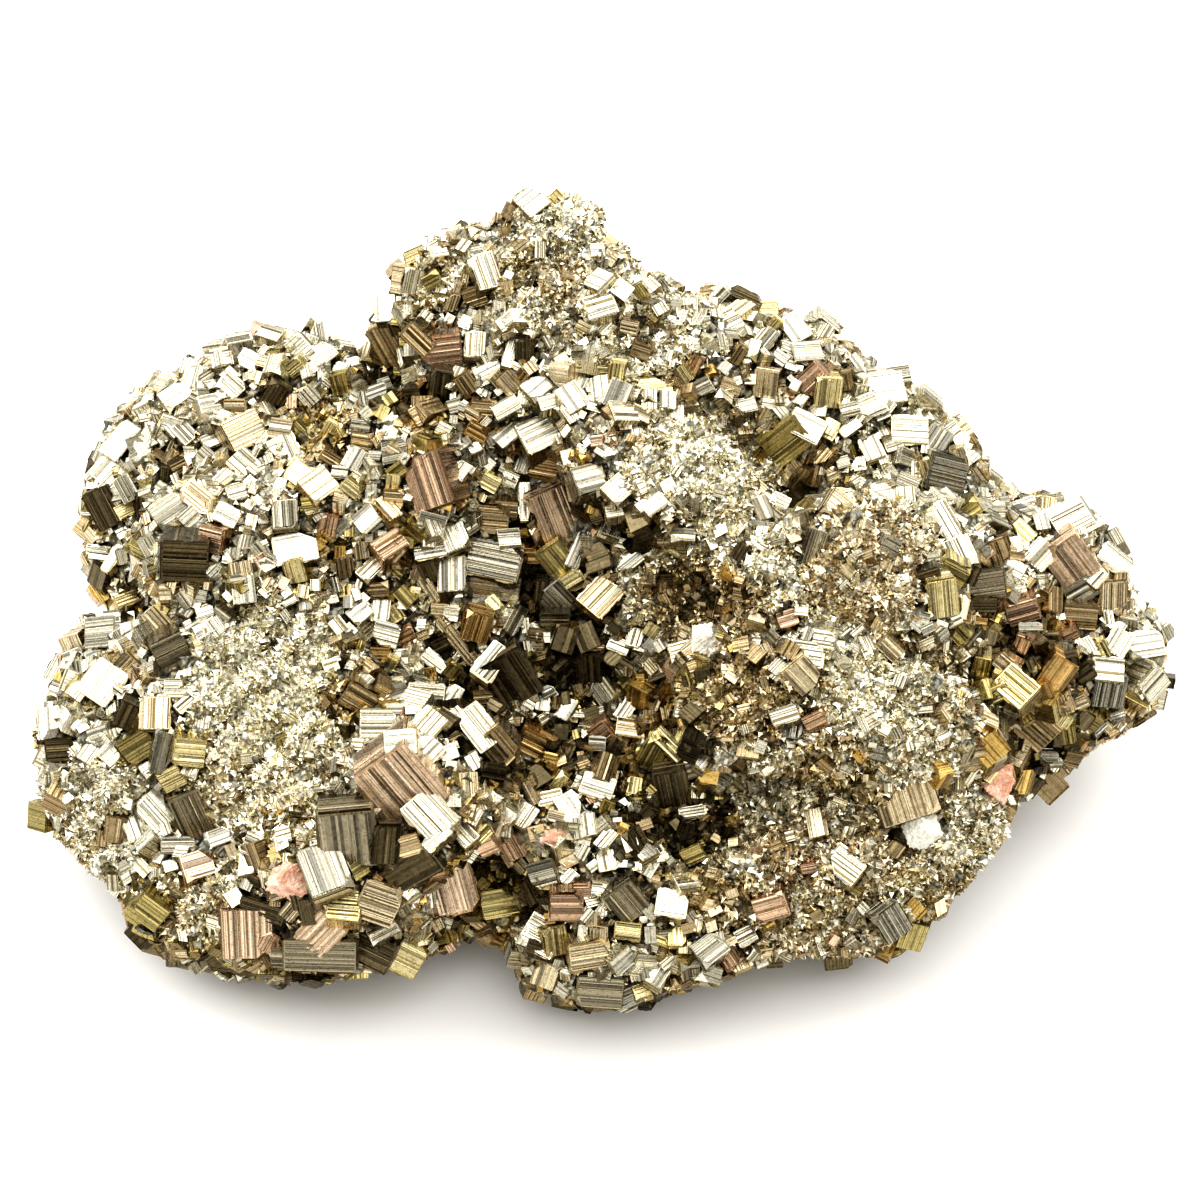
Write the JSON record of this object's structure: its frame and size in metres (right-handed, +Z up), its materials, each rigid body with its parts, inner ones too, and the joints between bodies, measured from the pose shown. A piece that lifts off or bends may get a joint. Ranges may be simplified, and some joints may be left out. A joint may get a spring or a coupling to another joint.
{
  "type": "pyrite mineral specimen",
  "caption": "Mound of intergrown striated pyrite cubes with small grains of pink carbonate and white quartz, broken flat underneath to rest on a shelf.",
  "frame": {"origin": "middle of the flat underside, on the surface it rests on", "axes": "+Z up, +X along the specimen's width to the right of the picture's view, +Y away from the viewer"},
  "size_m": [0.1396, 0.0966, 0.0615],
  "materials": {
    "pyrite": "metallic lustre, pale brassy silver with striated cube faces, some tarnished brown, rose or gold",
    "pink_carbonate": "dull waxy pink-orange carbonate with rough broken faces",
    "white_quartz": "glassy, slightly milky white quartz"
  },
  "bodies": {
    "root": {"pyrite_cluster": "pyrite", "pink_carbonate_1": "pink_carbonate", "pink_carbonate_2": "pink_carbonate", "pink_carbonate_3": "pink_carbonate", "white_quartz_1": "white_quartz", "white_quartz_2": "white_quartz"}
  },
  "joints": []
}
